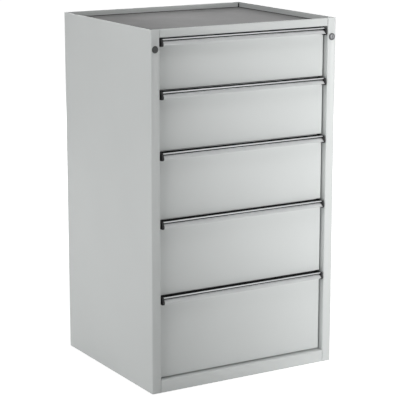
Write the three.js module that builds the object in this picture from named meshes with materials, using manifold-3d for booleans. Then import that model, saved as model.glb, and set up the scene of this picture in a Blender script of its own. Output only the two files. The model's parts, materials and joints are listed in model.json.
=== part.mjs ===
// Industrial drawer cabinet: a folded sheet-steel housing with five drawers of rising height.
// Millimetres, +Z up. The origin is on the floor, in the middle of the cabinet's whole footprint.
// The front faces -Y. Pieces are built with y = 0 at the front plane of the posts, y growing to the rear.
import * as THREE from 'three';
import { mergeVertices } from 'three/addons/utils/BufferGeometryUtils.js';
import Module from 'manifold-3d';

const wasm = await Module();
wasm.setup();

// Overall size
const WIDTH = 630;
const DEPTH = 545;
const MODULE = 25;                          // height step of the drawer fronts and of the upright slots
const frontModuleShares = [6, 7, 8, 9, 10]; // height of each front in modules, from the top drawer down
const TOP_RAIL = 24;
const BASE_RAIL = 37;

// Clearances
const FIT = 0.3;         // between fixed pieces that touch
const SLIP = 0.4;        // between pieces that slide or turn in each other
const RUN_GAP = 4;       // above and below each drawer front
const SIDE_GAP = 4.5;    // beside each drawer front
const OVERRUN = 5;       // how far a cutter reaches past what it cuts
const FACET = 2;         // longest facet on a rounded corner

// Housing sheet
const SHEET = 2;
const BEND = 1.5;        // inside radius of the housing folds
const THIN = 1.5;        // sheet of pans, drawers and back
const POST_WIDTH = 30;
const POST_RETURN = 28;
const REAR_LIP = 20;
const HEM = 20;          // inward flange under the base pan

// Top tray
const TRAY_DEPTH = 20;
const TRAY_SLIT = 4;     // open corner between two folded-up rims
const RAIL_RETURN = 16;
const MAT = 3;
const MAT_GAP = 2;
const MAT_CORNER = 6;

// Back panel and uprights
const BACK_RETURN = 12;
const UPRIGHT = 40;
const SLOT_HEIGHT = 12;
const SLOT_WIDTH = 4;

// Drawer
const RECESS = 16;       // drawer front behind the posts
const FRONT_RETURN = 18; // depth of the folded front pan
const FRONT_EDGE = 2;    // rounding of the front pan's face
const BOX_LIFT = 10;     // drawer floor above the front's lower edge
const BOX_HEADROOM = 28; // drawer side below the next front
const WALL_HEADROOM = 6; // drawer's inner front wall below the next front
const BOX_REAR_CLEAR = 24;
const RIM = 6;

// Slides: runner on the housing, intermediate member, member on the drawer
const SLIDE_SPACE = 13.5;
const SLIDE_HEIGHT = 45;
const SLIDE_CENTRE = 36; // above the front's lower edge
const SLIDE_SHEET = 1.5;
const RUNNER_GAP = 1.2;  // runner's start behind the drawer's inner front wall
const RUNNER_MARGIN = 4; // runner's end short of the rear upright's back edge
const MEMBER_MARGIN = 5; // each inner member's end short of the one outside it
const HOOK_REACH = 5;
const HOOK_HEIGHT = 10;

// Handle profile, as reach in front of the drawer front and drop below the handle's top
const HANDLE_HEIGHT = 18;
const HANDLE_WALL = 2.5;
const NOSE_BACK = 10.5;
const NOSE_REACH = 14.5;
const NOSE_HEIGHT = 3.8;
const NOSE_EDGE = 1.4;
const GROOVE_REACH = 9;
const GROOVE_HEIGHT = 5.4;
const LABEL_TOP_REACH = 13;
const LABEL_REACH = 20.5;
const LABEL_DROP = 7.5;
const LIP = 0.8;         // upright edge under the label face
const LIP_WIDTH = 1.5;
const TROUGH_FILLET = 3;

// End cap
const CAP = 5.5;
const CAP_PROUD = 1;
const CAP_HANG = 4;      // below the handle's underside
const CAP_EDGE = 1.5;
const CAP_FRONT = 8;     // height of the cap's lower part, where it has its full depth
const CAP_BULGE = 4;
const CAP_ROUND = 6.5;

// Lock
const LOCK_DROP = 56;
const LOCK_HOLE = 18.6;
const LOCK_BARREL = 18;
const LOCK_ROSE = 21;
const LOCK_ROSE_PROUD = 3;
const LOCK_ROSE_EDGE = 1;
const LOCK_LENGTH = 24;
const CORE = 12;
const KEY_WIDTH = 2;
const KEY_HEIGHT = 8;
const KEY_DEPTH = 12;
const CAM_SHEET = 3;
const CAM_RADIUS = 6;
const CAM_TIP = 3.5;
const CAM_PIN = 3.5;
const BAR_SHEET = 3;
const BAR_INNER = 3;     // bar's inner edge from the lock's axis
const BAR_WIDTH = 13;
const GUIDE_SHEET = 1.5;
const GUIDE_HEIGHT = 20;
const GUIDE_DROP = 36;   // upper guide below the lock's axis
const BAR_TOP = 16;      // bar above the lock's axis
const FINGER_HEIGHT = 6;
const FINGER_CLEAR = 0.5; // between a locked finger and the side of the drawer's front
const FINGER_PLAY = 0.8; // between the finger and the lug along the drawer's travel
const LUG_RISE = 2.5;    // lug above the slide
const LUG_HEIGHT = 12;
const PLUG_PROUD = 1.2;
const PLUG_LENGTH = 6;
const ROUND_SIDES = 40;

// Worked out from the sizes above
const moduleCount = frontModuleShares.reduce((sum, share) => sum + share);
const HEIGHT = BASE_RAIL + RUN_GAP + moduleCount * MODULE + TOP_RAIL;
const stackBase = BASE_RAIL + RUN_GAP;
const halfWidth = WIDTH / 2;
const innerHalf = halfWidth - SHEET - FIT;
const openingHalf = halfWidth - POST_WIDTH;
const frontHalf = openingHalf - SIDE_GAP;
const boxHalf = openingHalf - SLIDE_SPACE;
const wallHalf = boxHalf - THIN / 2;
const boxFront = FRONT_RETURN + FIT;        // behind the drawer front's face
const runnerStart = boxFront + THIN + RUNNER_GAP;
const capReach = LABEL_REACH + CAP_PROUD;
const capDrop = HANDLE_HEIGHT + CAP_HANG;
const proud = capReach - RECESS;
const backOuter = DEPTH - SHEET - FIT;
const backInner = backOuter - THIN;
const rearUprightEnd = backInner - BACK_RETURN - FIT;
const runnerEnd = rearUprightEnd - RUNNER_MARGIN;
const trayFloor = HEIGHT - TRAY_DEPTH;
const uprightBase = BASE_RAIL + FIT;
const uprightTop = trayFloor - THIN - FIT;
const barBack = RECESS + boxFront - FINGER_PLAY;
const barFront = barBack - BAR_SHEET;
const uprightStart = barBack + FIT;
const barInside = openingHalf + POST_WIDTH / 2 - BAR_INNER;
const barOutside = barInside + BAR_WIDTH;
const lockX = openingHalf + POST_WIDTH / 2;
const lockZ = HEIGHT - LOCK_DROP;
const lockShift = SIDE_GAP - SLIP - FINGER_CLEAR; // the bar's sideways way from unlocked to locked
const camArm = lockShift / Math.SQRT2;      // the pin hangs 45 degrees to the right, then 45 to the left
const pinX = lockX + lockShift / 2;
const pinZ = lockZ - lockShift / 2;
const lugLow = SLIDE_CENTRE + SLIDE_HEIGHT / 2 + LUG_RISE;

const paint = { color: 0xd9dcda, roughness: 0.5, metalness: 0.1 };
const zinc = { color: 0xb9bcbe, roughness: 0.4, metalness: 0.8 };
const aluminium = { color: 0xc8cacc, roughness: 0.35, metalness: 0.9 };
const blackPlastic = { color: 0x1c1d1e, roughness: 0.5, metalness: 0 };
const chrome = { color: 0xa9abad, roughness: 0.25, metalness: 1 };
const rubber = { color: 0x7c7e7d, roughness: 0.9, metalness: 0 };

// Plain solids and joining

function block(x0, x1, y0, y1, z0, z1) {
  const geometry = new THREE.BoxGeometry(Math.abs(x1 - x0), Math.abs(y1 - y0), Math.abs(z1 - z0));
  return geometry.translate((x0 + x1) / 2, (y0 + y1) / 2, (z0 + z1) / 2);
}

function extrude(outline, length, holes = []) {
  const shape = new THREE.Shape(outline);
  shape.holes = holes.map((hole) => new THREE.Path(hole));
  return new THREE.ExtrudeGeometry(shape, { depth: length, bevelEnabled: false });
}

function turned(geometry, xAxis, yAxis, zAxis) {
  const basis = new THREE.Matrix4().makeBasis(
    new THREE.Vector3(...xAxis),
    new THREE.Vector3(...yAxis),
    new THREE.Vector3(...zAxis),
  );
  return geometry.applyMatrix4(basis);
}

// An outline of (y, z) points carried along X
function alongX(outline, x0, x1, holes) {
  const geometry = extrude(outline, Math.abs(x1 - x0), holes);
  return turned(geometry, [0, 1, 0], [0, 0, 1], [1, 0, 0]).translate(Math.min(x0, x1), 0, 0);
}

// An outline of (x, z) points carried along Y
function alongY(outline, y0, y1, holes) {
  const geometry = extrude(outline, y1 - y0, holes);
  return turned(geometry, [1, 0, 0], [0, 0, 1], [0, -1, 0]).translate(0, y1, 0);
}

// An outline of (x, y) points carried along Z
function alongZ(outline, z0, z1) {
  return extrude(outline, z1 - z0).translate(0, 0, z0);
}

// A solid of revolution about the Y axis through (x, z); the profile holds (radius, y) points
function aboutY(profile, x, z) {
  const points = profile.map(([radius, y]) => new THREE.Vector2(radius, y));
  return new THREE.LatheGeometry(points, ROUND_SIDES).translate(x, 0, z);
}

function disc(radius, y0, y1, x, z) {
  return aboutY([[0, y0], [radius, y0], [radius, y1], [0, y1]], x, z);
}

function toSolid(geometry) {
  const bare = geometry.index ? geometry.toNonIndexed() : geometry.clone();
  bare.deleteAttribute('normal');
  bare.deleteAttribute('uv');
  const merged = mergeVertices(bare);
  return new wasm.Manifold(new wasm.Mesh({
    numProp: merged.attributes.position.itemSize,
    vertProperties: merged.attributes.position.array,
    triVerts: new Uint32Array(merged.index.array),
  }));
}

function toGeometry(solid) {
  const mesh = solid.getMesh();
  const geometry = new THREE.BufferGeometry();
  geometry.setAttribute('position', new THREE.BufferAttribute(mesh.vertProperties, mesh.numProp));
  geometry.setIndex(new THREE.BufferAttribute(mesh.triVerts, 1));
  const flat = geometry.toNonIndexed();
  flat.computeVertexNormals();
  return flat;
}

function join(...geometries) {
  return toGeometry(geometries.map(toSolid).reduce((sum, next) => sum.add(next)));
}

function cut(geometry, ...cutters) {
  return toGeometry(cutters.map(toSolid).reduce((rest, next) => rest.subtract(next), toSolid(geometry)));
}

// Outlines

// A closed outline whose corners are [u, v, radius]
function roundOff(corners) {
  return corners.flatMap(([u, v, radius = 0], index) => {
    const here = new THREE.Vector2(u, v);
    if (radius === 0) {
      return [here];
    }
    const [beforeU, beforeV] = corners.at(index - 1);
    const [afterU, afterV] = corners[(index + 1) % corners.length];
    const toBefore = new THREE.Vector2(beforeU, beforeV).sub(here).normalize();
    const toAfter = new THREE.Vector2(afterU, afterV).sub(here).normalize();
    const half = Math.acos(toBefore.dot(toAfter)) / 2;
    const middle = toBefore.clone().add(toAfter).normalize();
    const centre = here.clone().addScaledVector(middle, radius / Math.sin(half));
    const tangent = here.clone().addScaledVector(toBefore, radius / Math.tan(half));
    const start = tangent.sub(centre);
    const sweep = (Math.PI - 2 * half) * Math.sign(toAfter.cross(toBefore));
    const steps = Math.ceil(Math.abs(sweep) * radius / FACET);
    return Array.from({ length: steps + 1 }, (_, step) =>
      start.clone().rotateAround(new THREE.Vector2(), sweep * step / steps).add(centre));
  });
}

// The section of a folded sheet: a path of right turns with the sheet on its right-hand side
function folded(path, sheet, radius) {
  const last = path.length - 1;
  const normals = path.slice(1).map(([u, v], index) => {
    const along = new THREE.Vector2(u - path[index][0], v - path[index][1]).normalize();
    return new THREE.Vector2(along.y, -along.x).multiplyScalar(sheet);
  });
  const outside = path.map(([u, v], index) => [u, v, index % last === 0 ? 0 : radius + sheet]);
  const inside = path.map(([u, v], index) => {
    const before = normals[Math.max(index - 1, 0)];
    const after = normals[Math.min(index, last - 1)];
    const shift = index % last === 0 ? after : before.clone().add(after);
    return [u + shift.x, v + shift.y, index % last === 0 ? 0 : radius];
  });
  return roundOff([...outside, ...inside.reverse()]);
}

function rectangle(u0, u1, v0, v1) {
  return [[u0, v0], [u1, v0], [u1, v1], [u0, v1]].map(([u, v]) => new THREE.Vector2(u, v));
}

function roundedRectangle(u0, u1, v0, v1, radius) {
  return roundOff([[u0, v0, radius], [u1, v0, radius], [u1, v1, radius], [u0, v1, radius]]);
}

// Housing

// One folded sheet: rear lip, side, front post and the post's return. side is -1 left, 1 right.
function sidePanel(side) {
  const path = [
    [halfWidth - REAR_LIP, DEPTH],
    [halfWidth, DEPTH],
    [halfWidth, 0],
    [openingHalf, 0],
    [openingHalf, POST_RETURN],
  ];
  const outline = folded(path, SHEET, BEND).map(({ x, y }) => new THREE.Vector2(side * x, y));
  const sheet = alongZ(outline, 0, HEIGHT);
  const trayNotch = block(
    side * (openingHalf - OVERRUN), side * innerHalf,
    SHEET + BEND, POST_RETURN + OVERRUN,
    trayFloor - THIN - FIT, HEIGHT + OVERRUN,
  );
  const postNotch = block(
    side * (openingHalf - OVERRUN), side * innerHalf,
    SHEET, POST_RETURN + OVERRUN,
    trayFloor - THIN - FIT, HEIGHT + OVERRUN,
  );
  const lockHole = aboutY(
    [[0, -OVERRUN], [LOCK_HOLE / 2, -OVERRUN], [LOCK_HOLE / 2, OVERRUN], [0, OVERRUN]],
    side * lockX, lockZ,
  );
  return cut(sheet, trayNotch, postNotch, lockHole);
}

// One folded sheet whose side returns stop short of the base pan and the top pan
function backPanel() {
  const edge = backInner - BACK_RETURN;
  const outline = folded([
    [-innerHalf, edge],
    [-innerHalf, backOuter],
    [innerHalf, backOuter],
    [innerHalf, edge],
  ], THIN, BEND);
  const notches = [[-OVERRUN, uprightBase], [uprightTop, HEIGHT + OVERRUN]].map(([low, high]) => block(
    -innerHalf - OVERRUN, innerHalf + OVERRUN,
    edge - OVERRUN, backInner,
    low, high,
  ));
  return cut(alongZ(outline, 0, HEIGHT), ...notches);
}

// Floor on top, walls down to the ground, a hem turned in under them, and the bottom rail in front
function basePan() {
  const rear = backInner - FIT;
  const shoulder = POST_RETURN + FIT;
  const railHalf = openingHalf - FIT;
  const railOutline = roundOff([
    [0, 0],
    [rear, 0],
    [rear, BASE_RAIL],
    [0, BASE_RAIL, BEND + SHEET],
  ]);
  const outer = join(
    alongX(railOutline, -railHalf, railHalf),
    block(-innerHalf, innerHalf, shoulder, rear, 0, BASE_RAIL),
  );
  const hollow = join(
    block(-railHalf + SHEET, railHalf - SHEET, SHEET, rear - SHEET, SHEET, BASE_RAIL - SHEET),
    block(-innerHalf + SHEET, innerHalf - SHEET, shoulder + SHEET, rear - SHEET, SHEET, BASE_RAIL - SHEET),
  );
  const mouth = block(-innerHalf + HEM, innerHalf - HEM, HEM, rear - HEM, -OVERRUN, SHEET + BEND);
  return cut(outer, hollow, mouth);
}

// Tray with four rims and open corners; its front edge is doubled over into the top rail
function topPan() {
  const front = SHEET + FIT;
  const rear = backInner - FIT;
  const railHalf = openingHalf - FIT;
  const railOutline = roundOff([
    [RAIL_RETURN, HEIGHT],
    [0, HEIGHT, BEND + SHEET],
    [0, HEIGHT - TOP_RAIL, BEND + SHEET],
    [RAIL_RETURN, HEIGHT - TOP_RAIL],
  ]);
  const blank = join(
    block(-innerHalf, innerHalf, front, rear, trayFloor - THIN, HEIGHT),
    alongX(railOutline, -railHalf, railHalf),
  );
  const inside = block(
    -innerHalf + THIN, innerHalf - THIN,
    front + THIN, rear - THIN,
    trayFloor, HEIGHT + OVERRUN,
  );
  const slits = [-1, 1].flatMap((side) => [[front, 1], [rear, -1]]
    .map(([edge, inward]) => block(
      side * (innerHalf - THIN - TRAY_SLIT), side * (innerHalf - THIN / 2),
      edge - inward * OVERRUN, edge + inward * (THIN + TRAY_SLIT),
      trayFloor + THIN, HEIGHT + OVERRUN,
    )));
  return cut(blank, inside, ...slits);
}

function topMat() {
  const half = innerHalf - THIN - MAT_GAP;
  const front = SHEET + FIT + THIN + MAT_GAP;
  const rear = backInner - FIT - THIN - MAT_GAP;
  const floor = trayFloor + FIT;
  return alongZ(roundedRectangle(-half, half, front, rear, MAT_CORNER), floor, floor + MAT);
}

// Heights of the slots, which every slide's centre line falls on
function slotHeights() {
  const first = stackBase + SLIDE_CENTRE;
  const count = Math.floor((uprightTop - MODULE - first) / MODULE);
  return Array.from({ length: count + 1 }, (_, index) => first + index * MODULE);
}

// A channel whose slotted web faces the drawers
function upright(side, start) {
  const webX = openingHalf + FIT;
  const middle = start + UPRIGHT / 2;
  const slots = slotHeights().map((z) => rectangle(
    middle - SLOT_WIDTH / 2, middle + SLOT_WIDTH / 2,
    z - SLOT_HEIGHT / 2, z + SLOT_HEIGHT / 2,
  ));
  const web = alongX(
    rectangle(start, start + UPRIGHT, uprightBase, uprightTop),
    side * webX, side * (webX + SHEET), slots,
  );
  const flanges = [[start, start + SHEET], [start + UPRIGHT - SHEET, start + UPRIGHT]]
    .map(([y0, y1]) => block(side * webX, side * innerHalf, y0, y1, uprightBase, uprightTop));
  return join(web, ...flanges);
}

// Strap pressed out of the front upright, in which the lock bar shifts sideways
function barGuide(low) {
  const root = uprightStart + SHEET / 2;
  const inner = barInside - lockShift - SLIP;
  const outer = barOutside + SLIP;
  const bridge = barFront - SLIP;
  const outline = roundOff([
    [inner - GUIDE_SHEET, root],
    [inner - GUIDE_SHEET, bridge - GUIDE_SHEET],
    [outer + GUIDE_SHEET, bridge - GUIDE_SHEET],
    [outer + GUIDE_SHEET, root],
    [outer, root],
    [outer, bridge],
    [inner, bridge],
    [inner, root],
  ]);
  return alongZ(outline, low, low + GUIDE_HEIGHT);
}

function frontUpright(side) {
  const plain = upright(side, uprightStart);
  const lows = [uprightBase + GUIDE_HEIGHT, lockZ - GUIDE_DROP];
  return side > 0 ? join(plain, ...lows.map(barGuide)) : plain;
}

// Lock

function lockCylinder() {
  const bore = CORE / 2 + SLIP;
  const rose = LOCK_ROSE / 2;
  return aboutY([
    [bore, -LOCK_ROSE_PROUD],
    [rose - LOCK_ROSE_EDGE, -LOCK_ROSE_PROUD],
    [rose, -LOCK_ROSE_PROUD + LOCK_ROSE_EDGE],
    [rose, -FIT],
    [LOCK_BARREL / 2, -FIT],
    [LOCK_BARREL / 2, LOCK_LENGTH],
    [bore, LOCK_LENGTH],
    [bore, -LOCK_ROSE_PROUD],
  ], lockX, lockZ);
}

// Plug with its key slot, cam and the pin that shifts the bar
function lockCore() {
  const camStart = LOCK_LENGTH + SLIP;
  const camEnd = camStart + CAM_SHEET;
  const plug = disc(CORE / 2, -LOCK_ROSE_PROUD, camEnd, lockX, lockZ);
  const camRoot = disc(CAM_RADIUS, camStart, camEnd, lockX, lockZ);
  const camTip = disc(CAM_TIP, camStart, camEnd, pinX, pinZ);
  const pin = disc(CAM_PIN / 2, camStart, barBack - FIT, pinX, pinZ);
  const keyway = block(
    lockX - KEY_WIDTH / 2, lockX + KEY_WIDTH / 2,
    -LOCK_ROSE_PROUD - OVERRUN, -LOCK_ROSE_PROUD + KEY_DEPTH,
    lockZ - KEY_HEIGHT / 2, lockZ + KEY_HEIGHT / 2,
  );
  return cut(join(plug, camRoot, camTip, pin), keyway);
}

// Flat bar behind the right post, with an upright slot for the cam pin and a finger for each drawer
function lockBar() {
  const pinHalf = CAM_PIN / 2 + SLIP;
  const strip = alongY(
    rectangle(barInside, barOutside, uprightBase, lockZ + BAR_TOP),
    barFront, barBack,
    [rectangle(pinX - pinHalf, pinX + pinHalf, lockZ - camArm - pinHalf, pinZ + pinHalf)],
  );
  const fingers = drawerBases().map((base) => {
    const low = base + lugLow + (LUG_HEIGHT - FINGER_HEIGHT) / 2;
    return block(openingHalf - SLIP, lockX, barFront, barBack, low, low + FINGER_HEIGHT);
  });
  return join(strip, ...fingers);
}

function blankPlug() {
  const rose = LOCK_ROSE / 2;
  return aboutY([
    [0, -PLUG_PROUD],
    [rose - PLUG_PROUD, -PLUG_PROUD],
    [rose, -FIT],
    [LOCK_BARREL / 2, -FIT],
    [LOCK_BARREL / 2, PLUG_LENGTH],
    [0, PLUG_LENGTH],
  ], -lockX, lockZ);
}

// Drawers. Each is built with y = 0 on its front's face and z = 0 at its front's lower edge.

function drawerBases() {
  let top = stackBase + moduleCount * MODULE;
  return frontModuleShares.map((share) => {
    top -= share * MODULE;
    return top;
  });
}

// Folded pan with a rounded face edge, open to the rear
function drawerFront(height) {
  const edge = FRONT_EDGE;
  const top = height - RUN_GAP - HANDLE_HEIGHT - FIT;
  const shape = new THREE.Shape(rectangle(-frontHalf + edge, frontHalf - edge, edge, top - edge));
  const face = new THREE.ExtrudeGeometry(shape, {
    depth: FRONT_RETURN,
    bevelSize: edge,
    bevelThickness: edge,
    bevelSegments: 2,
  });
  const rounded = turned(face, [1, 0, 0], [0, 0, 1], [0, -1, 0]).translate(0, FRONT_RETURN + edge, 0);
  const inside = block(
    -frontHalf + THIN, frontHalf - THIN,
    THIN, FRONT_RETURN + OVERRUN,
    THIN, top - THIN,
  );
  const behind = block(
    -frontHalf - OVERRUN, frontHalf + OVERRUN,
    FRONT_RETURN, FRONT_RETURN + edge + OVERRUN,
    -OVERRUN, top + OVERRUN,
  );
  return cut(rounded, inside, behind);
}

// Section points given as [reach, drop, radius] turned into [y, z, radius]
function handleSection(height, corners) {
  const top = height - RUN_GAP;
  return roundOff(corners.map(([reach, drop, radius]) => [-reach, top - drop, radius]));
}

// Aluminium extrusion: nose, deep shadow groove, sloping label wing and a finger trough behind them
function handle(height) {
  const grooveEnd = NOSE_HEIGHT + GROOVE_HEIGHT;
  const labelEnd = grooveEnd + LABEL_DROP;
  const troughFloor = HANDLE_HEIGHT - HANDLE_WALL;
  const troughFront = GROOVE_REACH - HANDLE_WALL;
  const section = handleSection(height, [
    [NOSE_BACK, 0, NOSE_EDGE],
    [NOSE_REACH, 0, NOSE_EDGE],
    [NOSE_REACH, NOSE_HEIGHT, NOSE_EDGE],
    [GROOVE_REACH, NOSE_HEIGHT],
    [GROOVE_REACH, grooveEnd],
    [LABEL_TOP_REACH, grooveEnd],
    [LABEL_REACH, labelEnd],
    [LABEL_REACH, labelEnd + LIP],
    [LABEL_REACH - LIP_WIDTH, labelEnd + LIP],
    [LABEL_TOP_REACH - LIP_WIDTH, grooveEnd + HANDLE_WALL],
    [GROOVE_REACH, grooveEnd + HANDLE_WALL],
    [GROOVE_REACH, HANDLE_HEIGHT],
    [-FRONT_RETURN, HANDLE_HEIGHT],
    [-FRONT_RETURN, 0],
    [-FRONT_RETURN + HANDLE_WALL, 0],
    [-FRONT_RETURN + HANDLE_WALL, troughFloor, TROUGH_FILLET],
    [troughFront, troughFloor, TROUGH_FILLET],
    [troughFront, NOSE_HEIGHT],
  ]);
  const half = frontHalf - CAP - FIT;
  return alongX(section, -half, half);
}

// Plastic end cap that closes the trough and rounds the handle's lower front corner
function endCap(side, height) {
  const section = handleSection(height, [
    [-FRONT_RETURN, 0],
    [NOSE_REACH + CAP_PROUD, 0, CAP_EDGE],
    [capReach, capDrop - CAP_FRONT, CAP_BULGE],
    [capReach, capDrop, CAP_ROUND],
    [FIT, capDrop],
    [FIT, HANDLE_HEIGHT],
    [-FRONT_RETURN, HANDLE_HEIGHT],
  ]);
  return alongX(section, side * (frontHalf - CAP), side * frontHalf);
}

// A channel section of the slides, as (x, z) points. It opens towards its tips.
function channel(side, webX, tipX, halfHeight, corner) {
  const inward = Math.sign(webX - tipX);
  const innerHalfHeight = halfHeight - SLIDE_SHEET;
  const corners = [
    [webX, -halfHeight, corner],
    [tipX, -halfHeight],
    [tipX, -innerHalfHeight],
    [webX - inward * SLIDE_SHEET, -innerHalfHeight],
    [webX - inward * SLIDE_SHEET, innerHalfHeight],
    [tipX, innerHalfHeight],
    [tipX, halfHeight],
    [webX, halfHeight, corner],
  ];
  return roundOff(corners.map(([x, z, radius]) => [side * x, SLIDE_CENTRE + z, radius]));
}

// Half height of each slide member, from the runner inwards
function memberHalf(level) {
  return SLIDE_HEIGHT / 2 - level * (SLIDE_SHEET + SLIP);
}

// Outer member, hooked into the front and rear uprights
function runner(side) {
  const end = runnerEnd - RECESS;
  const tipX = boxHalf + SLIDE_SHEET + SLIP;
  const rail = alongY(channel(side, openingHalf, tipX, memberHalf(0), SLIDE_SHEET), runnerStart, end);
  const hookHalf = SLOT_WIDTH / 2 - SLIP;
  const middles = [uprightStart, rearUprightEnd - UPRIGHT].map((from) => from + UPRIGHT / 2 - RECESS);
  const hooks = middles.map((middle) => block(
    side * (openingHalf - SLIDE_SHEET), side * (openingHalf + HOOK_REACH),
    middle - hookHalf, middle + hookHalf,
    SLIDE_CENTRE - HOOK_HEIGHT / 2, SLIDE_CENTRE + HOOK_HEIGHT / 2,
  ));
  return join(rail, ...hooks);
}

function slideMember(side) {
  const webX = openingHalf - SLIDE_SHEET - SLIP;
  const tipX = boxHalf + SLIDE_SHEET + SLIP;
  const end = runnerEnd - RECESS - MEMBER_MARGIN;
  return alongY(channel(side, webX, tipX, memberHalf(1), SLIDE_SHEET), runnerStart, end);
}

// Floor, sides and turned-out rims of a drawer in one sheet, as (x, z) points
function boxSection(top) {
  const inside = boxHalf - THIN;
  const brim = boxHalf + RIM;
  return roundOff([
    [-brim, top],
    [-inside, top],
    [-inside, BOX_LIFT + THIN, BEND],
    [inside, BOX_LIFT + THIN, BEND],
    [inside, top],
    [brim, top],
    [brim, top - THIN],
    [boxHalf, top - THIN],
    [boxHalf, BOX_LIFT, BEND + THIN],
    [-boxHalf, BOX_LIFT, BEND + THIN],
    [-boxHalf, top - THIN],
    [-brim, top - THIN],
  ]);
}

// End wall set half a sheet into the floor and the sides. rightEdge holds the points of a lug on its right.
function endWall(y0, y1, top, rightEdge = []) {
  const bottom = BOX_LIFT + THIN / 2;
  const corner = BEND + THIN / 2;
  return alongY(roundOff([
    [-wallHalf, bottom, corner],
    [wallHalf, bottom, corner],
    ...rightEdge,
    [wallHalf, top],
    [-wallHalf, top],
  ]), y0, y1);
}

// Folded box with its inner slide members and a tall front wall, whose lug the lock bar's finger stops
function drawerBox(height) {
  const rear = backInner - BOX_REAR_CLEAR - RECESS;
  const top = height - BOX_HEADROOM;
  const webX = openingHalf - 2 * (SLIDE_SHEET + SLIP);
  const memberEnd = runnerEnd - RECESS - 2 * MEMBER_MARGIN;
  const members = [-1, 1].map((side) => alongY(
    channel(side, wallHalf, webX, memberHalf(2), 0), runnerStart, memberEnd,
  ));
  const lugTip = openingHalf - 2 * SLIP;
  const lugHigh = lugLow + LUG_HEIGHT;
  const lug = [[wallHalf, lugLow], [lugTip, lugLow], [lugTip, lugHigh], [wallHalf, lugHigh]];
  return join(
    alongY(boxSection(top), boxFront + THIN / 2, rear - THIN / 2),
    endWall(boxFront, boxFront + THIN, height - WALL_HEADROOM, lug),
    endWall(rear - THIN, rear, top - RIM),
    ...members,
  );
}

// Scene

function piece(name, geometry, look) {
  const mesh = new THREE.Mesh(geometry, new THREE.MeshStandardMaterial(look));
  mesh.name = name;
  return mesh;
}

const sides = [['left', -1], ['right', 1]];

function housing() {
  const group = new THREE.Group();
  group.add(
    piece('back_panel', backPanel(), paint),
    piece('base_pan', basePan(), paint),
    piece('top_pan', topPan(), paint),
    piece('top_mat', topMat(), rubber),
    piece('lock_cylinder', lockCylinder(), chrome),
    piece('lock_core', lockCore(), chrome),
    piece('lock_bar', lockBar(), zinc),
    piece('blank_plug', blankPlug(), blackPlastic),
  );
  sides.forEach(([word, side]) => {
    group.add(
      piece(`side_panel_${word}`, sidePanel(side), paint),
      piece(`upright_front_${word}`, frontUpright(side), paint),
      piece(`upright_rear_${word}`, upright(side, rearUprightEnd - UPRIGHT), paint),
    );
  });
  return group;
}

function drawer(number, height, base) {
  const group = new THREE.Group();
  group.position.set(0, RECESS, base);
  group.add(
    piece(`drawer_${number}_front`, drawerFront(height), paint),
    piece(`drawer_${number}_box`, drawerBox(height), zinc),
    piece(`drawer_${number}_handle`, handle(height), aluminium),
  );
  sides.forEach(([word, side]) => {
    group.add(
      piece(`drawer_${number}_cap_${word}`, endCap(side, height), blackPlastic),
      piece(`slide_${number}_${word}`, slideMember(side), zinc),
      piece(`runner_${number}_${word}`, runner(side), zinc),
    );
  });
  return group;
}

const cabinet = new THREE.Group();
cabinet.position.y = proud - (DEPTH + proud) / 2;
cabinet.add(housing());
drawerBases().forEach((base, index) => {
  cabinet.add(drawer(index + 1, frontModuleShares[index] * MODULE, base));
});

export default cabinet;
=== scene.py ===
import json
import math

import bmesh
import bpy
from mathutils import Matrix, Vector

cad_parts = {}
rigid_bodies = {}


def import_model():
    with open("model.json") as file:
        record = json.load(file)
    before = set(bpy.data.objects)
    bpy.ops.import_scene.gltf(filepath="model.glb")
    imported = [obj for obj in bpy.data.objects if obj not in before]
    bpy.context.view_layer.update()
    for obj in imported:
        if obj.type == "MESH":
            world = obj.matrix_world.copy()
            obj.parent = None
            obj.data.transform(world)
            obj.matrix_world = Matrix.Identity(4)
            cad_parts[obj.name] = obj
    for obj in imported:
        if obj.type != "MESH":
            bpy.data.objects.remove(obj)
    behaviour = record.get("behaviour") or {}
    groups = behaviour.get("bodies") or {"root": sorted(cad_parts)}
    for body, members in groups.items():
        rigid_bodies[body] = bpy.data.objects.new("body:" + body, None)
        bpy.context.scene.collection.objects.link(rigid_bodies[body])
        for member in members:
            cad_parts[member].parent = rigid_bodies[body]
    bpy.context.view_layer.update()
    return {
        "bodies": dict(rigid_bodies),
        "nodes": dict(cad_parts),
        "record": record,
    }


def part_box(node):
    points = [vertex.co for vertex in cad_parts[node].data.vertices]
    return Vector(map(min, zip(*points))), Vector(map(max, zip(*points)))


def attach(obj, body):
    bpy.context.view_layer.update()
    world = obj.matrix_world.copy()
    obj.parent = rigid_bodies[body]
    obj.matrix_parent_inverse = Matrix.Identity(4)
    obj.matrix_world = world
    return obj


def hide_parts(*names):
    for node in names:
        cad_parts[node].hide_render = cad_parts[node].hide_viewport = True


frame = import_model()
NODES = frame["nodes"]
MM = 0.001
DRAWERS = range(1, 6)
SIDES = {"left": -1, "right": 1}

# Lengths from here down to the floor's are in millimetres. The first ones are those of the solids.
SHEET = 1.5
FIT = 0.3
POST_WIDTH = 30.0
TOP_RAIL = 24.0
BASE_RAIL = 37.0
MAT_GAP = 2.0
BOX_WALL = 270.0

# The solids' handle profile: forward reaches and depths behind the drawer's face, and drops below the top
NOSE_BACK = 10.5
NOSE_DROP = 3.8
TROUGH_FRONT = 6.5
TROUGH_DEPTH = 15.5
TROUGH_DROP = 15.5
TROUGH_FILLET = 3.0
GROOVE_REACH = 9.0
GROOVE_DROP = 9.2
LABEL_TOP_REACH = 13.0
LABEL_REACH = 20.5
LABEL_HEIGHT = 7.5

# Linings of the handle: black strips of painted shade in its trough and groove, and its label card
LINER = 0.7
LINER_GAP = 0.1
LINER_END = 0.5
FOIL = 0.3
FOIL_MARGIN = 0.6
LABEL_END = 3.0

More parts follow.
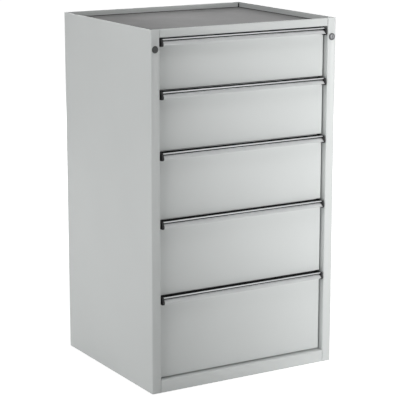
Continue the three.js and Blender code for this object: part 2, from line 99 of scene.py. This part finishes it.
# Divider combs: foot above the lower edge of the drawer's front, top below that of its inner front wall
COMB = 2.0
COMB_END = 4.0
COMB_FOOT = 13.0
COMB_TOP = 24.0
COMB_SOLID = 8.0
COMB_EDGE = 0.3
SLOT_PITCH = 25.0
SLOT_WIDTH = 3.0

# Heads of rivets and screws, as (radius, height) points, and where they sit
RIVET = [(2.4, 0.0), (2.3, 0.5), (1.7, 1.0), (0.9, 1.2)]
SLIDE_RIVET = [(3.0, 0.0), (2.8, 0.5), (1.8, 0.9), (0.8, 1.0)]
SCREW = [(3.6, 0.0), (3.6, 0.8), (3.0, 1.5), (1.9, 1.8), (1.9, 0.7)]
RIVET_SIDES = 14
SCREW_SIDES = 20
RIVET_PITCH = 120.0
RIVET_SIDE_INSET = 26.0
RIVET_END_INSET = 20.0
RIVET_TOP_INSET = 10.0
SLIDE_RIVET_REACHES = (14, 60, 190, 320, 440)
SCREW_COLUMNS = (-200, 0, 200)
SCREW_INSET = 40.0

# Weld lines between posts and rails
SEAM_MARGIN = 3.5
SEAM_BACK = 1.9
FILLED_SEAM_LAP = 0.5
FILLED_SEAM_PROUD = 0.03
OPEN_SEAM_DEPTH = 0.15

# Black edging of painted shade around the tray's mat
EDGING_GAP = 0.1
EDGING_TOP = 1.5
EDGING_SHOULDER = 0.8
EDGING_SLOPE = 0.5
UPSTAND_GAP = 0.15
UPSTAND_REACH = 2.6
UPSTAND_HEIGHT = 11.0

# Rounded edges of the solids, by material slot
SKIN_WIDTHS = {"body_paint": 0.4, "zinc_steel": 0.3, "anodised_aluminium": 0.25,
               "black_plastic": 0.5, "lock_metal": 0.3, "mat_rubber": 0.6}
SKIN_SEGMENTS = 2
MERGE_DISTANCE = 0.02
FLAT_ANGLE = math.radians(0.4)
EDGE_ANGLE = math.radians(40)

# Floor and world: sizes and distances in metres, light as strengths where 1 is white
FLOOR_HALF = 40.0
FLOOR_DROP = 0.0005
LIFT_NEAR = 0.6
LIFT_NEAR_DISTANCE = 0.9
LIFT_FAR = 0.93
LIFT_FAR_DISTANCE = 2.6
WORLD_LIGHT = 0.118

# Camera as fitted to the photo, its place measured in metres from the cabinet's lower front left corner
CAMERA_TURN = math.radians(30.63)
CAMERA_TILT = math.radians(12.72)
CAMERA_LENS = 144.0
CAMERA_SENSOR = 36.0
FRONT_LEFT_CORNER = (-0.315, -0.26975, 0.0)
CAMERA_FROM_CORNER = (-2.1371, -3.8804, 1.5816)


def rgb(*values):
    """A linear colour from sRGB values between 0 and 255."""
    linear = [(v / 255 / 12.92) if v <= 10 else ((v / 255 + 0.055) / 1.055) ** 2.4 for v in values]
    return (*linear, 1.0)


class Nodes:
    """A material's node tree with short ways to add and link nodes."""

    def __init__(self, name):
        self.material = bpy.data.materials.new(name)
        self.material.use_nodes = True
        self.tree = self.material.node_tree
        self.tree.nodes.clear()
        self.output = self.tree.nodes.new("ShaderNodeOutputMaterial")

    def add(self, kind, **values):
        node = self.tree.nodes.new(kind)
        for key, value in values.items():
            if hasattr(node, key):
                setattr(node, key, value)
            else:
                node.inputs[key.replace("_", " ")].default_value = value
        return node

    def link(self, source, target):
        self.tree.links.new(source, target)

    def coordinates(self, scale=(1, 1, 1)):
        place = self.add("ShaderNodeTexCoord")
        mapping = self.add("ShaderNodeMapping")
        mapping.inputs["Scale"].default_value = scale
        self.link(place.outputs["Object"], mapping.inputs["Vector"])
        return mapping.outputs["Vector"]

    def noise(self, vector, scale=1.0, detail=3.0, roughness=0.5):
        node = self.add("ShaderNodeTexNoise", Scale=scale, Detail=detail, Roughness=roughness)
        self.link(vector, node.inputs["Vector"])
        return node.outputs["Fac"]

    def ramp(self, value, low=0.0, high=1.0, start=0.0, end=1.0):
        """The value carried from start..end to low..high, and held at both ends."""
        node = self.add("ShaderNodeMapRange")
        node.inputs["From Min"].default_value = start
        node.inputs["From Max"].default_value = end
        node.inputs["To Min"].default_value = low
        node.inputs["To Max"].default_value = high
        self.link(value, node.inputs["Value"])
        return node.outputs["Result"]

    def mix(self, factor, first, second):
        """The first colour at factor 0 and the second at 1."""
        node = self.add("ShaderNodeMix", data_type="RGBA", blend_type="MIX")
        sockets = (node.inputs["Factor"], node.inputs[6], node.inputs[7])
        for socket, value in zip(sockets, (factor, first, second)):
            if isinstance(value, bpy.types.NodeSocket):
                self.link(value, socket)
            else:
                socket.default_value = value
        return node.outputs[2]

    def bump(self, height, strength, distance, normal=None):
        node = self.add("ShaderNodeBump")
        node.inputs["Strength"].default_value = strength
        node.inputs["Distance"].default_value = distance
        self.link(height, node.inputs["Height"])
        if normal is not None:
            self.link(normal, node.inputs["Normal"])
        return node.outputs["Normal"]

    def surface(self, colour, roughness, normal, **constants):
        """The finished material, with its constants set on the shader's own sockets."""
        shader = self.add("ShaderNodeBsdfPrincipled")
        for name, value in constants.items():
            shader.inputs[name.replace("_", " ")].default_value = value
        self.link(colour, shader.inputs["Base Color"])
        self.link(roughness, shader.inputs["Roughness"])
        self.link(normal, shader.inputs["Normal"])
        self.link(shader.outputs["BSDF"], self.output.inputs["Surface"])
        return self.material


# Materials, whose noise and mapping scales count per metre, with bump distances in metres

def powder_coat(name, colour, dark):
    """Satin powder coat: fine orange peel, faint clouding and specks."""
    nodes = Nodes(name)
    at = nodes.coordinates()
    cloud = nodes.ramp(nodes.noise(at, scale=2.2, detail=2.0), high=0.6, start=0.35, end=0.65)
    speck = nodes.ramp(nodes.noise(at, scale=900.0, detail=1.0), high=0.25, start=0.55, end=0.8)
    base = nodes.mix(speck, nodes.mix(cloud, colour, dark), dark)
    rough = nodes.ramp(nodes.noise(at, scale=60.0), low=0.42, high=0.52)
    peel = nodes.noise(at, scale=420.0, detail=2.0, roughness=0.55)
    normal = nodes.bump(peel, strength=0.10, distance=0.0004)
    return nodes.surface(base, rough, normal, Specular_IOR_Level=0.4)


def satin_aluminium(name):
    """Natural anodised extrusion with die lines along X."""
    nodes = Nodes(name)
    lines = nodes.noise(nodes.coordinates((3.0, 900.0, 900.0)), detail=4.0, roughness=0.6)
    fine = nodes.noise(nodes.coordinates((12.0, 2600.0, 2600.0)), detail=2.0)
    base = nodes.mix(nodes.ramp(lines, start=0.3, end=0.7), rgb(185, 187, 188), rgb(198, 200, 200))
    rough = nodes.ramp(lines, low=0.42, high=0.54, start=0.3, end=0.7)
    normal = nodes.bump(lines, strength=0.06, distance=0.0003)
    normal = nodes.bump(fine, strength=0.03, distance=0.0002, normal=normal)
    return nodes.surface(base, rough, normal, Metallic=0.45)


def zinc_plate(name):
    """Bright zinc-plated sheet: soft spangle clouds and rolling lines along Y."""
    nodes = Nodes(name)
    at = nodes.coordinates()
    spangle = nodes.add("ShaderNodeTexVoronoi", Scale=70.0)
    nodes.link(at, spangle.inputs["Vector"])
    cloud = nodes.noise(at, scale=18.0, detail=4.0)
    base = nodes.mix(nodes.ramp(cloud, start=0.3, end=0.7), rgb(188, 191, 193), rgb(200, 202, 204))
    base = nodes.mix(nodes.ramp(spangle.outputs["Distance"], high=0.2), base, rgb(172, 175, 178))
    rough = nodes.ramp(cloud, low=0.36, high=0.46, start=0.3, end=0.7)
    lines = nodes.noise(nodes.coordinates((700.0, 4.0, 700.0)))
    normal = nodes.bump(lines, strength=0.05, distance=0.0003)
    return nodes.surface(base, rough, normal, Metallic=0.3)


def black_plastic(name, dark, light):
    """Fine-grained dark moulding."""
    nodes = Nodes(name)
    at = nodes.coordinates()
    grain = nodes.noise(at, scale=1400.0, detail=2.0)
    base = nodes.mix(nodes.ramp(nodes.noise(at, scale=90.0), start=0.4, end=0.6), dark, light)
    rough = nodes.ramp(grain, low=0.45, high=0.62)
    normal = nodes.bump(grain, strength=0.15, distance=0.0002)
    return nodes.surface(base, rough, normal, Specular_IOR_Level=0.35)


def nickel(name, dark, light):
    """Nickel-plated die casting, dulled by handling."""
    nodes = Nodes(name)
    at = nodes.coordinates()
    fine = nodes.noise(at, scale=700.0)
    handled = nodes.ramp(nodes.noise(at, scale=160.0), start=0.35, end=0.65)
    base = nodes.mix(handled, dark, light)
    rough = nodes.ramp(fine, low=0.46, high=0.58)
    normal = nodes.bump(fine, strength=0.05, distance=0.0002)
    return nodes.surface(base, rough, normal, Metallic=0.4)


def label_foil(name):
    """Blank label card under clear film."""
    nodes = Nodes(name)
    cloud = nodes.ramp(nodes.noise(nodes.coordinates(), scale=14.0), start=0.35, end=0.65)
    base = nodes.mix(cloud, rgb(206, 208, 208), rgb(200, 201, 202))
    fibre = nodes.noise(nodes.coordinates((260.0, 900.0, 900.0)))
    rough = nodes.ramp(fibre, low=0.34, high=0.46)
    normal = nodes.bump(fibre, strength=0.04, distance=0.0002)
    return nodes.surface(base, rough, normal, Specular_IOR_Level=0.4)


def rubber_mat(name):
    """Matt grey rubber sheet with a fine pressed grain."""
    nodes = Nodes(name)
    at = nodes.coordinates()
    grain = nodes.noise(at, scale=650.0, roughness=0.6)
    cloud = nodes.ramp(nodes.noise(at, scale=9.0), start=0.3, end=0.7)
    base = nodes.mix(cloud, rgb(119, 119, 119), rgb(128, 128, 128))
    base = nodes.mix(nodes.ramp(grain, high=0.5, start=0.5, end=0.75), base, rgb(104, 104, 104))
    rough = nodes.ramp(grain, low=0.75, high=0.9)
    normal = nodes.bump(grain, strength=0.3, distance=0.0004)
    return nodes.surface(base, rough, normal, Specular_IOR_Level=0.2)


MATERIALS = {
    "body_paint": powder_coat("body_paint_coat", rgb(212, 215, 214), rgb(206, 209, 208)),
    "zinc_steel": zinc_plate("zinc_steel_plate"),
    "anodised_aluminium": satin_aluminium("anodised_extrusion"),
    "black_plastic": black_plastic("black_moulding", rgb(22, 22, 23), rgb(32, 32, 33)),
    "lock_metal": nickel("nickel_casting", rgb(124, 125, 127), rgb(146, 147, 149)),
    "mat_rubber": rubber_mat("rubber_sheet"),
}
# painted shade: a darker black for the strips that stand in for the shadow in the handles' grooves
GROOVE_SHADE_BLACK = black_plastic("groove_strip_moulding", rgb(30, 31, 32), rgb(38, 39, 40))
PLUG_GREY = black_plastic("worn_grey_moulding", rgb(66, 68, 67), rgb(76, 78, 77))
# painted shade: a dark colour that stands in for the shadow in the seams that stay open at the right of the
# rails
SEAM_PAINTED_SHADE = powder_coat("groove_dust", rgb(62, 63, 62), rgb(48, 49, 48))
LABEL_FOIL = label_foil("label_card_film")
DARK_NICKEL = nickel("dark_nickel_casting", rgb(72, 73, 75), rgb(88, 89, 91))
OWN_LOOKS = {"blank_plug": PLUG_GREY, "lock_cylinder": DARK_NICKEL}
SLOTS = {entry["node"]: entry["material_slot"] for entry in frame["record"]["subparts"]}
BODY_OF = {name: body.name.split(":", 1)[1] for body in frame["bodies"].values() for name in NODES
           if NODES[name].parent == body}


# Mesh helpers

def object_from(shape, name):
    """Turns a built shape into an object of the scene."""
    mesh = bpy.data.meshes.new(name)
    shape.to_mesh(mesh)
    shape.free()
    piece = bpy.data.objects.new(name, mesh)
    bpy.context.scene.collection.objects.link(piece)
    return piece


def join_rings(shape, first, second):
    """Faces all round between two rings with the same number of points."""
    for index in range(len(first)):
        after = (index + 1) % len(first)
        shape.faces.new((first[index], first[after], second[after], second[index]))


def finish_piece(piece, body, slot, material=None):
    piece.data.materials.clear()
    piece.data.materials.append(material or MATERIALS[slot])
    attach(piece, body)


def add_bevel(piece, width, segments):
    bevel = piece.modifiers.new("edges", "BEVEL")
    bevel.width = width * MM
    bevel.segments = segments
    bevel.limit_method = "ANGLE"
    bevel.angle_limit = EDGE_ANGLE
    return bevel


def skin(node, width, material):
    """A copy of a CAD node with its sharp edges rounded, which stands for it."""
    shape = bmesh.new()
    shape.from_mesh(NODES[node].data)
    bmesh.ops.remove_doubles(shape, verts=shape.verts, dist=MERGE_DISTANCE * MM)
    bmesh.ops.dissolve_limit(shape, angle_limit=FLAT_ANGLE, verts=shape.verts, edges=shape.edges)
    piece = object_from(shape, node + "_skin")
    for polygon in piece.data.polygons:
        polygon.use_smooth = True
    bevel = add_bevel(piece, width, SKIN_SEGMENTS)
    bevel.harden_normals = True
    bevel.use_clamp_overlap = True
    finish_piece(piece, BODY_OF[node], SLOTS[node], material)
    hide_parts(node)


def prism(name, section, x0, x1):
    """A closed outline of (y, z) points carried along X."""
    shape = bmesh.new()
    start, end = [[shape.verts.new((x, y, z)) for y, z in section] for x in (x0, x1)]
    join_rings(shape, start, end)
    shape.faces.new(start[::-1])
    shape.faces.new(end)
    bmesh.ops.recalc_face_normals(shape, faces=shape.faces)
    return object_from(shape, name)


def turned_heads(name, places, profile, outward, sides):
    """One mesh of equal heads, whose (radius, height) points go from the foot up along outward."""
    axis = Vector(outward)
    across = axis.orthogonal().normalized()
    other = axis.cross(across)
    angles = [2 * math.pi * step / sides for step in range(sides)]
    spokes = [math.cos(angle) * across + math.sin(angle) * other for angle in angles]
    shape = bmesh.new()
    for place in places:
        rings = []
        for radius, height in profile:
            middle = Vector(place) + height * MM * axis
            rings.append([shape.verts.new(middle + radius * MM * spoke) for spoke in spokes])
        for low, high in zip(rings, rings[1:]):
            join_rings(shape, low, high)
        shape.faces.new(rings[0][::-1])
        shape.faces.new(rings[-1])
    bmesh.ops.recalc_face_normals(shape, faces=shape.faces)
    for face in shape.faces:
        face.smooth = True
    return object_from(shape, name)


for node_name in sorted(NODES):
    skin(node_name, SKIN_WIDTHS[SLOTS[node_name]], OWN_LOOKS.get(node_name))


# Drawer details

def along_handle(number, name, profile, end, slot, material=None):
    """A strip with one section of (reach, drop) points, which stops short of both ends of a handle by end."""
    low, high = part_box(f"drawer_{number}_handle")
    face = low.y + LABEL_REACH * MM
    section = [(face - reach * MM, high.z - drop * MM) for reach, drop in profile]
    piece = prism(f"drawer_{number}_{name}", section, low.x + end * MM, high.x - end * MM)
    finish_piece(piece, f"drawer_{number}", slot, material)


def trough_liner(number):
    """Black liner of painted shade in the finger trough, a folded strip that follows the trough's walls and
    stands in for the trough's shadow.
    """
    nose = NOSE_BACK - LINER_GAP
    shelf = NOSE_DROP + LINER
    front = TROUGH_FRONT - LINER_GAP
    back = LINER_GAP - TROUGH_DEPTH
    bottom = TROUGH_DROP - LINER_GAP
    bend = bottom - TROUGH_FILLET
    outer = [(nose, LINER), (front, shelf), (front, bend), (front - TROUGH_FILLET, bottom),
             (back + TROUGH_FILLET, bottom), (back, bend), (back, LINER)]
    inner = [(back + LINER, LINER), (back + LINER, bend), (back + TROUGH_FILLET, bottom - LINER),
             (front - TROUGH_FILLET, bottom - LINER), (front - LINER, bend), (front - LINER, shelf),
             (nose - LINER, LINER)]
    along_handle(number, "trough_liner", outer + inner, LINER_END, "black_plastic")


def groove_strip(number):
    """Dark strip of painted shade at the back of the handle's groove, which stands in for the groove's
    shadow.
    """
    back = GROOVE_REACH + LINER_GAP
    top = NOSE_DROP + LINER_GAP
    bottom = GROOVE_DROP - 2 * LINER
    profile = [(back, top), (back + 2 * LINER, top), (back + LINER, bottom), (back, bottom)]
    along_handle(number, "groove_strip", profile, LINER_END, "black_plastic", GROOVE_SHADE_BLACK)


def label_strip(number):
    """Blank label card with its film, on the handle's sloping label wing."""
    top_reach, top_drop = LABEL_TOP_REACH + FOIL_MARGIN, GROOVE_DROP + FOIL_MARGIN
    low_reach, low_drop = LABEL_REACH - FOIL_MARGIN, GROOVE_DROP + LABEL_HEIGHT - FOIL_MARGIN
    lift = LINER_GAP / 2
    profile = [(top_reach + lift, top_drop - lift), (top_reach + FOIL, top_drop - FOIL),
               (low_reach + FOIL, low_drop - FOIL), (low_reach + lift, low_drop - lift)]
    along_handle(number, "label_strip", profile, LABEL_END, "anodised_aluminium", LABEL_FOIL)


def divider_comb(number, side, sign):
    """Slotted lining of one drawer side, which takes the ends of divider plates."""
    low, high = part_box(f"drawer_{number}_box")
    start, end = low.y + COMB_END * MM, high.y - COMB_END * MM
    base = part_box(f"drawer_{number}_front")[0].z + COMB_FOOT * MM
    top = high.z - COMB_TOP * MM
    slot_foot = base + COMB_SOLID * MM
    pitch, half = SLOT_PITCH * MM, SLOT_WIDTH * MM / 2
    count = math.floor((end - start) / pitch) - 1
    first = (start + end) / 2 - (count - 1) * pitch / 2
    outline = [(start, top), (start, base), (end, base), (end, top)]
    for index in reversed(range(count)):
        near, far = first + index * pitch - half, first + index * pitch + half
        outline += [(far, top), (far, slot_foot), (near, slot_foot), (near, top)]
    x0, x1 = sorted((sign * (BOX_WALL - LINER_GAP) * MM, sign * (BOX_WALL - COMB) * MM))
    piece = prism(f"drawer_{number}_comb_{side}", outline, x0, x1)
    add_bevel(piece, COMB_EDGE, 1)
    finish_piece(piece, f"drawer_{number}", "zinc_steel")


def slide_rivets(number, side, sign):
    """Rivets that hold the ball cages' stops, on the outer face of the intermediate slide member."""
    low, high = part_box(f"slide_{number}_{side}")
    web = low.x if sign < 0 else high.x
    middle = (low.z + high.z) / 2
    places = [(web, low.y + reach * MM, middle) for reach in SLIDE_RIVET_REACHES]
    piece = turned_heads(f"slide_{number}_rivets_{side}", places, SLIDE_RIVET, (sign, 0, 0), RIVET_SIDES)
    finish_piece(piece, f"slides_{number}", "zinc_steel")


def front_screws(number):
    """Pan-head screws that hold the drawer's front to the box's inner front wall."""
    low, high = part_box(f"drawer_{number}_box")
    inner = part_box(f"drawer_{number}_front")[1].y + (SHEET + FIT) * MM
    rows = (low.z + SCREW_INSET * MM, high.z - SCREW_INSET * MM)
    places = [(column * MM, inner, row) for column in SCREW_COLUMNS for row in rows]
    piece = turned_heads(f"drawer_{number}_front_screws", places, SCREW, (0, 1, 0), SCREW_SIDES)
    finish_piece(piece, f"drawer_{number}", "zinc_steel")


for drawer_number in DRAWERS:
    trough_liner(drawer_number)
    groove_strip(drawer_number)
    label_strip(drawer_number)
    front_screws(drawer_number)
    for side_name, side_sign in SIDES.items():
        divider_comb(drawer_number, side_name, side_sign)
        slide_rivets(drawer_number, side_name, side_sign)


# Housing details

def back_rivets():
    """Blind rivets along the back panel's edges."""
    low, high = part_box("back_panel")
    left, right = low.x + RIVET_SIDE_INSET * MM, high.x - RIVET_SIDE_INSET * MM
    foot, span = low.z + RIVET_END_INSET * MM, high.z - low.z - 2 * RIVET_END_INSET * MM
    rows = round(span / (RIVET_PITCH * MM))
    heights = [foot + span / rows * row for row in range(rows + 1)]
    columns = round((right - left) / (RIVET_PITCH * MM))
    spots = [left + (right - left) * column / columns for column in range(1, columns)]
    places = [(x, high.y, z) for z in heights for x in (left, right)]
    places += [(x, high.y, z) for x in spots for z in (foot, high.z - RIVET_TOP_INSET * MM)]
    piece = turned_heads("back_rivets", places, RIVET, (0, 1, 0), RIVET_SIDES)
    finish_piece(piece, "cabinet", "zinc_steel")


def rail_seams():
    """Weld lines between posts and rails: filled and painted at the left, open grooves at the right coloured
    dark with painted shade.
    """
    post_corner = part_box("side_panel_left")[0]
    post_edge = abs(post_corner.x) - POST_WIDTH * MM
    back = post_corner.y + SEAM_BACK * MM
    rail_top, rail_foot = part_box("top_pan")[1].z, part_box("base_pan")[0].z
    spans = {"top": (rail_top - TOP_RAIL * MM, rail_top), "bottom": (rail_foot, rail_foot + BASE_RAIL * MM)}
    for word, (foot, top) in spans.items():
        z0, z1 = foot + SEAM_MARGIN * MM, top - SEAM_MARGIN * MM
        for side, sign in SIDES.items():
            # the open seams at the right get a dark colour of painted shade for their shadow
            lap, depth, material = 0.0, OPEN_SEAM_DEPTH, SEAM_PAINTED_SHADE
            if side == "left":
                lap, depth, material = FILLED_SEAM_LAP, -FILLED_SEAM_PROUD, None
            front = post_corner.y + depth * MM
            x0, x1 = sorted((sign * (post_edge + lap * MM), sign * (post_edge - (FIT + lap) * MM)))
            section = [(front, z0), (front, z1), (back, z1), (back, z0)]
            finish_piece(prism(f"{word}_seam_{side}", section, x0, x1), "cabinet", "body_paint", material)


def tray_edging():
    """Black strip of painted shade pressed between the mat and the tray's rims, with an upstand in each
    corner, which stands in for the shade in the gaps and the rims' corner notches.
    """
    low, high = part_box("top_mat")
    rim_x, rim_front, rim_rear = high.x + MAT_GAP * MM, low.y - MAT_GAP * MM, high.y + MAT_GAP * MM
    foot, top, shoulder = low.z, high.z + EDGING_TOP * MM, high.z + EDGING_SHOULDER * MM
    near, far = EDGING_GAP, MAT_GAP - EDGING_GAP
    profile = [(near, foot), (near, top), (far - EDGING_SLOPE, top), (far, shoulder), (far, foot)]
    shape = bmesh.new()
    rings = []
    for inset, z in profile:
        x, y0, y1 = rim_x - inset * MM, rim_front + inset * MM, rim_rear - inset * MM
        corners = ((-x, y0, z), (x, y0, z), (x, y1, z), (-x, y1, z))
        rings.append([shape.verts.new(corner) for corner in corners])
    for ring, following in zip(rings, rings[1:] + rings[:1]):
        join_rings(shape, ring, following)
    near, far, tip = UPSTAND_GAP * MM, UPSTAND_REACH * MM, top + UPSTAND_HEIGHT * MM
    for sign in SIDES.values():
        for rim_y, inward in ((rim_front, 1), (rim_rear, -1)):
            points = [(sign * (rim_x - across), rim_y + inward * along)
                      for across, along in ((near, near), (far, near), (near, far))]
            foot_ring, tip_ring = [[shape.verts.new((x, y, z)) for x, y in points] for z in (shoulder, tip)]
            shape.faces.new(foot_ring)
            shape.faces.new(tip_ring)
            join_rings(shape, foot_ring, tip_ring)
    bmesh.ops.recalc_face_normals(shape, faces=shape.faces)
    finish_piece(object_from(shape, "tray_edging"), "cabinet", "black_plastic")


back_rivets()
rail_seams()
tray_edging()


# Floor, light and camera

def floor():
    """Pale floor that shows nearly white to the camera and in gloss, and keeps the cabinet's shadow."""
    shape = bmesh.new()
    bmesh.ops.create_grid(shape, x_segments=4, y_segments=4, size=FLOOR_HALF)
    plane = object_from(shape, "floor")
    plane.location.z = -FLOOR_DROP
    nodes = Nodes("pale_floor")
    at = nodes.coordinates()
    tone = nodes.mix(nodes.noise(at, scale=2.0), rgb(243, 243, 243), rgb(246, 246, 246))
    diffuse = nodes.add("ShaderNodeBsdfDiffuse")
    nodes.link(tone, diffuse.inputs["Color"])
    path = nodes.add("ShaderNodeLightPath")
    seen = nodes.add("ShaderNodeMath", operation="MAXIMUM")
    nodes.link(path.outputs["Is Camera Ray"], seen.inputs[0])
    nodes.link(path.outputs["Is Glossy Ray"], seen.inputs[1])
    distance = nodes.add("ShaderNodeVectorMath", operation="LENGTH")
    nodes.link(at, distance.inputs[0])
    lift = nodes.ramp(distance.outputs["Value"], LIFT_NEAR, LIFT_FAR, LIFT_NEAR_DISTANCE, LIFT_FAR_DISTANCE)
    strength = nodes.add("ShaderNodeMath", operation="MULTIPLY")
    nodes.link(seen.outputs[0], strength.inputs[0])
    nodes.link(lift, strength.inputs[1])
    glow = nodes.add("ShaderNodeEmission")
    nodes.link(strength.outputs[0], glow.inputs["Strength"])
    both = nodes.add("ShaderNodeAddShader")
    nodes.link(diffuse.outputs[0], both.inputs[0])
    nodes.link(glow.outputs[0], both.inputs[1])
    nodes.link(both.outputs[0], nodes.output.inputs["Surface"])
    plane.data.materials.append(nodes.material)


def world():
    """White past the floor for the camera, gloss and glass, and a low even light on the object."""
    scene_world = bpy.data.worlds.new("studio")
    bpy.context.scene.world = scene_world
    scene_world.use_nodes = True
    tree = scene_world.node_tree
    tree.nodes.clear()
    path = tree.nodes.new("ShaderNodeLightPath")
    seen = path.outputs["Is Camera Ray"]
    for kind in ("Is Glossy Ray", "Is Transmission Ray"):
        either = tree.nodes.new("ShaderNodeMath")
        either.operation = "MAXIMUM"
        tree.links.new(seen, either.inputs[0])
        tree.links.new(path.outputs[kind], either.inputs[1])
        seen = either.outputs[0]
    strength = tree.nodes.new("ShaderNodeMapRange")
    strength.inputs["To Min"].default_value = WORLD_LIGHT
    strength.inputs["To Max"].default_value = 1.0
    tree.links.new(seen, strength.inputs["Value"])
    background = tree.nodes.new("ShaderNodeBackground")
    background.inputs["Color"].default_value = (1, 1, 1, 1)
    tree.links.new(strength.outputs["Result"], background.inputs["Strength"])
    output = tree.nodes.new("ShaderNodeOutputWorld")
    tree.links.new(background.outputs[0], output.inputs["Surface"])


def add_lamp(name, kind, place, target, power):
    data = bpy.data.lights.new(name, kind)
    data.energy = power
    lamp = bpy.data.objects.new(name, data)
    bpy.context.scene.collection.objects.link(lamp)
    lamp.location = place
    lamp.rotation_euler = (Vector(target) - Vector(place)).to_track_quat("-Z", "Y").to_euler()
    lamp.visible_camera = False
    return data


def area_light(name, place, target, width, height, power):
    data = add_lamp(name, "AREA", place, target, power)
    data.shape = "RECTANGLE"
    data.size = width
    data.size_y = height


def spot_light(name, place, target, cone, radius, power):
    data = add_lamp(name, "SPOT", place, target, power)
    data.spot_size = math.radians(cone)
    data.spot_blend = 1.0
    data.shadow_soft_size = radius


floor()
world()
spot_light("right_front_spot", place=(1.5, -4.6, 0.92), target=(1.77, -0.27, 0.75),
           cone=60.0, radius=0.32, power=985)
area_light("left_panel", place=(-3.2, -0.6, 1.3), target=(-0.31, 0.0, 0.55), width=2.5, height=2.5, power=46)
area_light("top_panel", place=(0.0, -0.6, 3.6), target=(0.0, 0.0, 1.0), width=2.5, height=2.5, power=36)
area_light("rear_panel", place=(2.2, 4.2, 1.9), target=(0.15, 0.27, 0.5), width=2.5, height=2.2, power=90)

camera_data = bpy.data.cameras.new("camera")
camera_data.sensor_width = CAMERA_SENSOR
camera_data.lens = CAMERA_LENS
camera = bpy.data.objects.new("camera", camera_data)
bpy.context.scene.collection.objects.link(camera)
camera.location = [corner + away for corner, away in zip(FRONT_LEFT_CORNER, CAMERA_FROM_CORNER)]
forward = Vector((math.sin(CAMERA_TURN) * math.cos(CAMERA_TILT),
                  math.cos(CAMERA_TURN) * math.cos(CAMERA_TILT),
                  -math.sin(CAMERA_TILT)))
camera.rotation_euler = forward.to_track_quat("-Z", "Y").to_euler()
bpy.context.scene.camera = camera
bpy.context.scene.view_settings.view_transform = "Standard"
